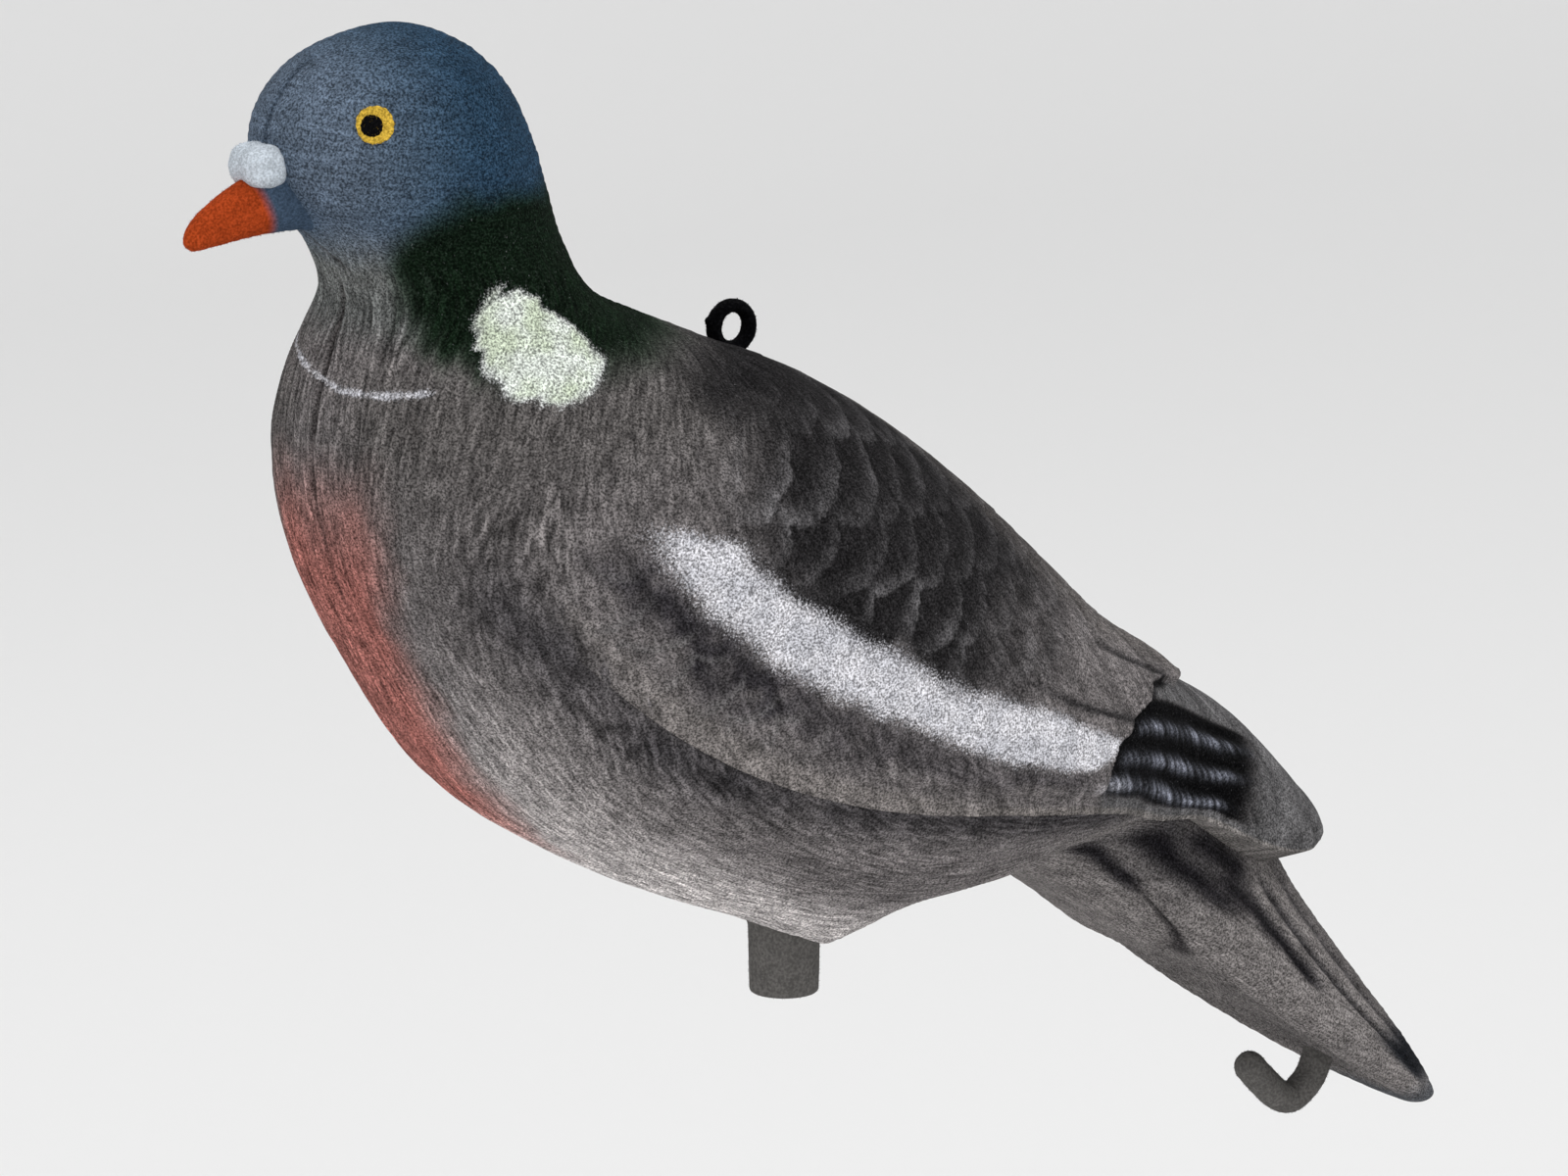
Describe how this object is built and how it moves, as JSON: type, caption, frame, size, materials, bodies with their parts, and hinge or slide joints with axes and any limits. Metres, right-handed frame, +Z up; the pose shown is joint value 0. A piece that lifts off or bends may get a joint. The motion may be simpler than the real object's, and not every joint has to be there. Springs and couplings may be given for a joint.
{
  "type": "pigeon decoy",
  "caption": "Flocked life-size wood pigeon decoy with folded wings, a line ring on its back, a hook under its tail and a belly stub that takes a stake.",
  "frame": {"origin": "centre of the belly stub's mouth, where the stake goes in", "axes": "+Z up along the stub, -X towards the head and beak, +X towards the tail, -Y to the bird's left side"},
  "size_m": [0.3287, 0.1274, 0.2713],
  "materials": {
    "flock": "flocked and airbrushed plastic"
  },
  "bodies": {
    "root": {"pigeon_decoy": "flock"}
  },
  "joints": []
}
